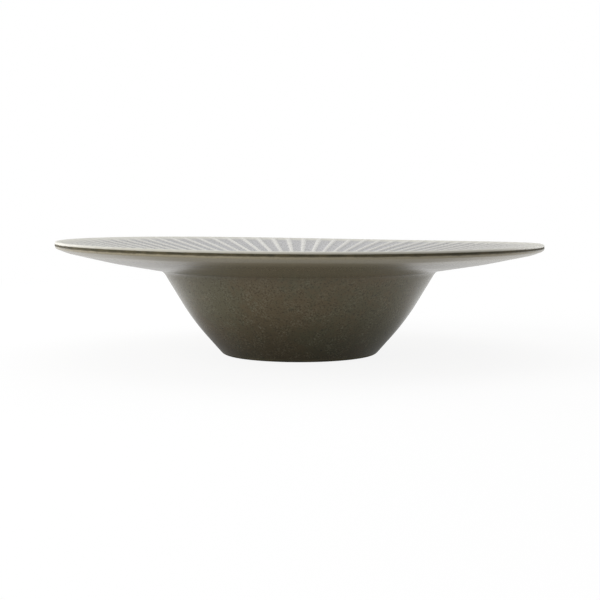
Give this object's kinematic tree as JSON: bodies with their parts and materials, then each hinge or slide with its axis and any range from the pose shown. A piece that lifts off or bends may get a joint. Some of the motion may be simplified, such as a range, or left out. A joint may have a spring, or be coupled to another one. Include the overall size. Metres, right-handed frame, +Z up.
{
  "type": "pasta plate",
  "caption": "Deep stoneware pasta plate: a small tapered well on a low foot ring, under a broad shallow rim with radial ribs on its upper face, glazed in grey and olive brown.",
  "frame": {"origin": "middle of the standing ring, on the plane that the plate stands on", "axes": "+Z up along the plate's axis; the plate is round, and a rib lies on +X and on +Y"},
  "size_m": [0.28, 0.28, 0.064],
  "materials": {
    "clay": "fired and unglazed, matt and slightly gritty",
    "grey_glaze": "satin, paler where it runs thin over the ribs",
    "olive_glaze": "satin, with fine pale and dark specks"
  },
  "bodies": {
    "root": {"stoneware_body": "clay", "glaze_inside": "grey_glaze", "glaze_outside": "olive_glaze", "glaze_under_foot": "olive_glaze"}
  },
  "joints": []
}
